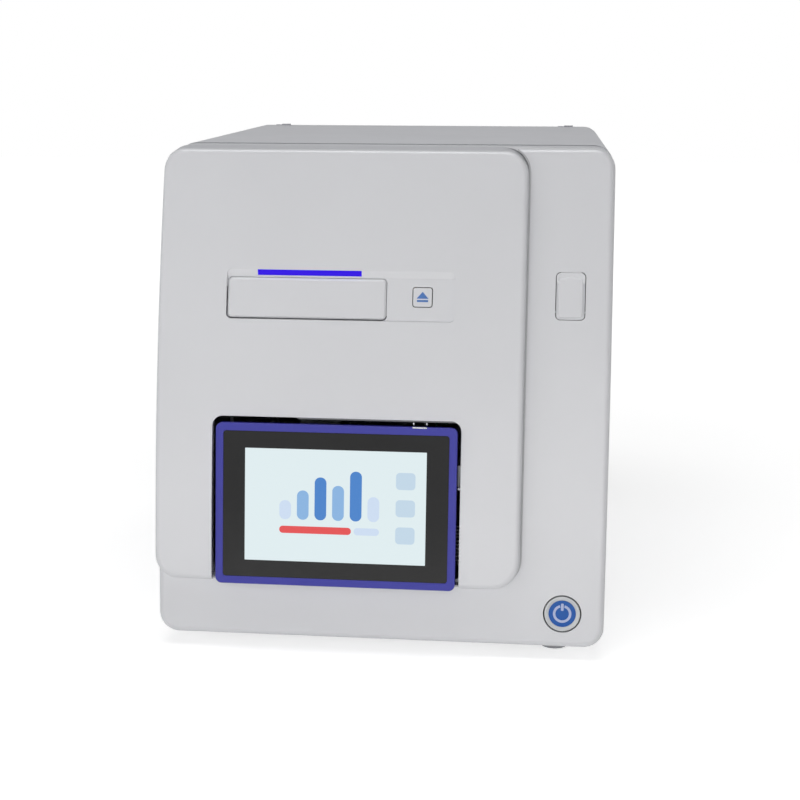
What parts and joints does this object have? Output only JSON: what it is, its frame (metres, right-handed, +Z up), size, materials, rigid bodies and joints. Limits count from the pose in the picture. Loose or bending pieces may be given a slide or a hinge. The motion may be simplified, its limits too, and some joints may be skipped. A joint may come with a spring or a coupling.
{
  "type": "digital pcr instrument",
  "caption": "Benchtop reader with a curved front, a leaning touch screen, a sliding plate tray, a port flap, a power button, and thermal, press and imaging units inside.",
  "frame": {"origin": "middle of the bounding box at the floor under the rubber feet", "axes": "+Z up, front with the screen towards -Y, +X to the right of someone facing the front"},
  "size_m": [0.4, 0.4929, 0.4442],
  "materials": {
    "case_plastic": "fine satin moulding",
    "case_steel": "satin powder coat",
    "black_plastic": "fine matt moulding",
    "screen_blue": "gloss",
    "clear_glass": "polished, black border",
    "lit_display": "even glow",
    "light_lens": "translucent",
    "silver_plastic": "silver lacquer",
    "blue_disc": "gloss",
    "foot_rubber": "matt",
    "bare_steel": "zinc plated",
    "bare_aluminium": "machined",
    "dark_aluminium": "black anodised",
    "circuit_board": "solder mask",
    "brass_pinion": "machined",
    "filter_glass": "coated",
    "mirror_glass": "front surface coating"
  },
  "bodies": {
    "case": {"front_cover": "case_plastic", "fascia": "case_plastic", "status_light": "light_lens", "light_board": "circuit_board", "button_board": "circuit_board", "power_switch": "black_plastic", "flap_pin": "bare_steel", "port_seat": "black_plastic", "front_sockets": "bare_steel", "screen_frame": "screen_blue", "screen_glass": "clear_glass", "display_panel": "lit_display", "screen_back": "black_plastic", "screen_bracket": "bare_steel", "screen_latch": "black_plastic", "base_pan": "case_steel", "housing": "case_steel", "feet": "foot_rubber", "rear_panel": "case_steel", "rear_top_clips": "case_steel", "panel_screws": "bare_steel", "tray_rails": "bare_steel", "drive_motor": "bare_steel", "deck_plate": "bare_steel", "lift_actuator": "bare_aluminium", "press_actuators": "bare_aluminium", "imaging_hood": "dark_aluminium", "fold_mirror": "mirror_glass", "filter_motor": "bare_steel", "camera": "dark_aluminium", "optics_shelf": "bare_steel", "lamp_bars": "black_plastic", "frame_plates": "bare_steel", "fan_frames": "black_plastic", "mains_module": "black_plastic", "rear_ports": "bare_steel", "power_supply": "bare_aluminium", "main_board": "circuit_board"},
    "tray": {"tray_front": "case_plastic", "plate_tray": "bare_aluminium", "tray_runners": "bare_aluminium", "tray_rack": "bare_aluminium"},
    "pinion": {"drive_pinion": "brass_pinion"},
    "eject": {"eject_button": "case_plastic"},
    "power": {"power_button": "silver_plastic", "power_disc": "blue_disc"},
    "flap": {"port_flap": "case_plastic"},
    "rocker": {"mains_rocker": "black_plastic"},
    "lift": {"thermal_block": "bare_aluminium", "heat_sink": "bare_aluminium", "lift_rod": "bare_steel"},
    "press": {"press_frame": "dark_aluminium", "press_window": "clear_glass", "press_rods": "bare_steel"},
    "wheel": {"filter_wheel": "dark_aluminium", "filter_discs": "filter_glass"},
    "left_rotor": {"fan_rotor_left": "black_plastic"},
    "right_rotor": {"fan_rotor_right": "black_plastic"}
  },
  "joints": [
    {"name": "tray_slide", "type": "slide", "parent": "case", "child": "tray", "axis": [0, -1, 0], "range_m": [0, 0.15]},
    {"name": "pinion_spin", "type": "hinge", "parent": "case", "child": "pinion", "pos_m": [0.01109, -0.0825, 0.3055], "axis": [0, 0, 1], "range_deg": [0, 1001]},
    {"name": "eject_press", "type": "slide", "parent": "case", "child": "eject", "axis": [0, 0.9637, -0.2671], "range_m": [0, 0.0012], "stiffness_N_per_m": 400, "springref_m": -0.002},
    {"name": "power_press", "type": "slide", "parent": "case", "child": "power", "axis": [0, 0.9949, -0.1004], "range_m": [0, 0.0016], "stiffness_N_per_m": 500, "springref_m": -0.002},
    {"name": "flap_hinge", "type": "hinge", "parent": "case", "child": "flap", "pos_m": [0.1633, -0.18233, 0.30363], "axis": [1, 0, 0], "range_deg": [0, 88]},
    {"name": "mains_rocker_tilt", "type": "hinge", "parent": "case", "child": "rocker", "pos_m": [0.128, 0.2405, 0.104], "axis": [1, 0, 0], "range_deg": [-20, 0]},
    {"name": "block_lift", "type": "slide", "parent": "case", "child": "lift", "axis": [0, 0, 1], "range_m": [0, 0.0046]},
    {"name": "press_lower", "type": "slide", "parent": "case", "child": "press", "axis": [0, 0, -1], "range_m": [0, 0.0046]},
    {"name": "filter_turn", "type": "hinge", "parent": "case", "child": "wheel", "pos_m": [-0.09855, -0.04084, 0.373], "axis": [0, 1, 0], "continuous": true},
    {"name": "left_fan_spin", "type": "hinge", "parent": "case", "child": "left_rotor", "pos_m": [-0.118, 0.2255, 0.342], "axis": [0, 1, 0], "continuous": true},
    {"name": "right_fan_spin", "type": "hinge", "parent": "case", "child": "right_rotor", "pos_m": [0.006, 0.2255, 0.342], "axis": [0, 1, 0], "continuous": true}
  ],
  "couplings": [
    {"joint": "pinion_spin", "follows": "tray_slide", "rad_per_m": 116.36}
  ]
}
